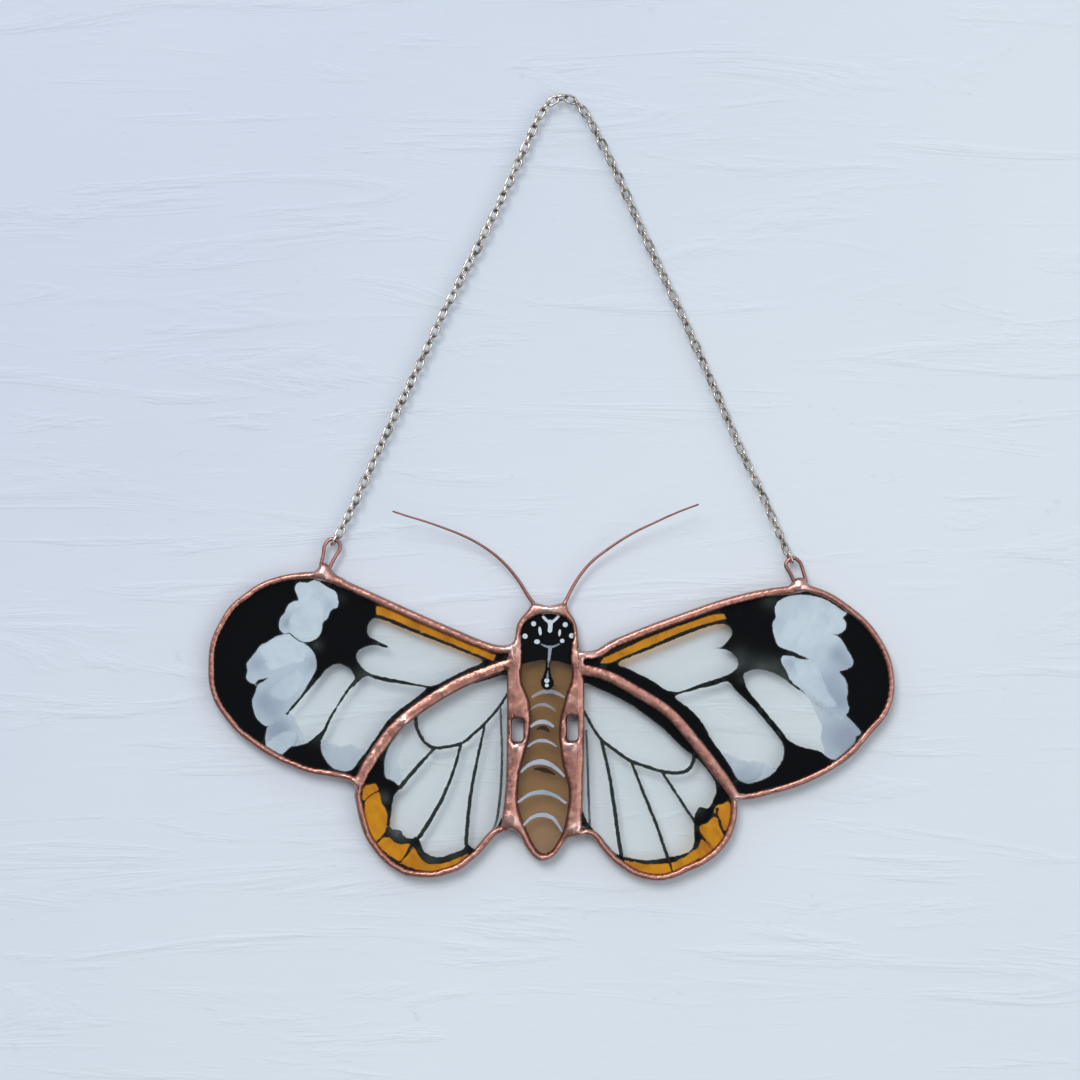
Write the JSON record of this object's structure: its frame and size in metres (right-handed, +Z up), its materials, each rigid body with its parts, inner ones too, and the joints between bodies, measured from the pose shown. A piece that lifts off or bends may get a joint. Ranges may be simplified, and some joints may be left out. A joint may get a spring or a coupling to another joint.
{
  "type": "stained-glass butterfly suncatcher",
  "caption": "Copper-finished leaded glass butterfly with painted clear-wing markings that hangs from a fine chain.",
  "frame": {"origin": "where the chain bends over its nail, at the top of the whole", "axes": "+X to the right along the wings, +Z up, -Y towards the viewer, +Y into the wall"},
  "size_m": [0.1605, 0.0086, 0.1841],
  "materials": {
    "copper": "solder beads with a copper patina, satin",
    "chain": "pale gold plated fine chain, bright",
    "clear_glass": "clear sheet glass, 3 mm, polished",
    "brown_glass": "olive brown painted glass, gloss",
    "black_paint": "black glass paint, gloss, thin at its edges",
    "white_paint": "translucent white glass paint with brush marks",
    "amber_paint": "transparent amber glass paint, gloss",
    "grey_paint": "pale lavender grey paint strokes"
  },
  "bodies": {
    "root": {"upper_left_wing_glass": "clear_glass", "upper_left_wing_frame": "copper", "upper_left_wing_black_paint": "black_paint", "upper_left_wing_white_paint_1": "white_paint", "upper_left_wing_white_paint_2": "white_paint", "upper_left_wing_amber_paint_1": "amber_paint", "lower_left_wing_glass": "clear_glass", "lower_left_wing_frame": "copper", "lower_left_wing_black_paint": "black_paint", "lower_left_wing_amber_paint_1": "amber_paint", "lower_left_wing_amber_paint_2": "amber_paint", "lower_left_wing_amber_paint_3": "amber_paint", "lower_left_wing_amber_paint_4": "amber_paint", "upper_right_wing_glass": "clear_glass", "upper_right_wing_frame": "copper", "upper_right_wing_black_paint": "black_paint", "upper_right_wing_white_paint_1": "white_paint", "upper_right_wing_amber_paint_1": "amber_paint", "lower_right_wing_glass": "clear_glass", "lower_right_wing_frame": "copper", "lower_right_wing_black_paint": "black_paint", "lower_right_wing_amber_paint_1": "amber_paint", "lower_right_wing_amber_paint_2": "amber_paint", "lower_right_wing_amber_paint_3": "amber_paint", "body_glass": "brown_glass", "body_frame": "copper", "head_black_paint": "black_paint", "abdomen_band_1": "grey_paint", "abdomen_band_2": "grey_paint", "abdomen_band_3": "grey_paint", "abdomen_band_4": "grey_paint", "abdomen_band_5": "grey_paint", "abdomen_band_6": "grey_paint", "abdomen_band_7": "grey_paint", "hanging_loop_left": "copper", "hanging_loop_right": "copper", "antenna_left": "copper", "antenna_right": "copper", "chain": "chain"}
  },
  "joints": []
}
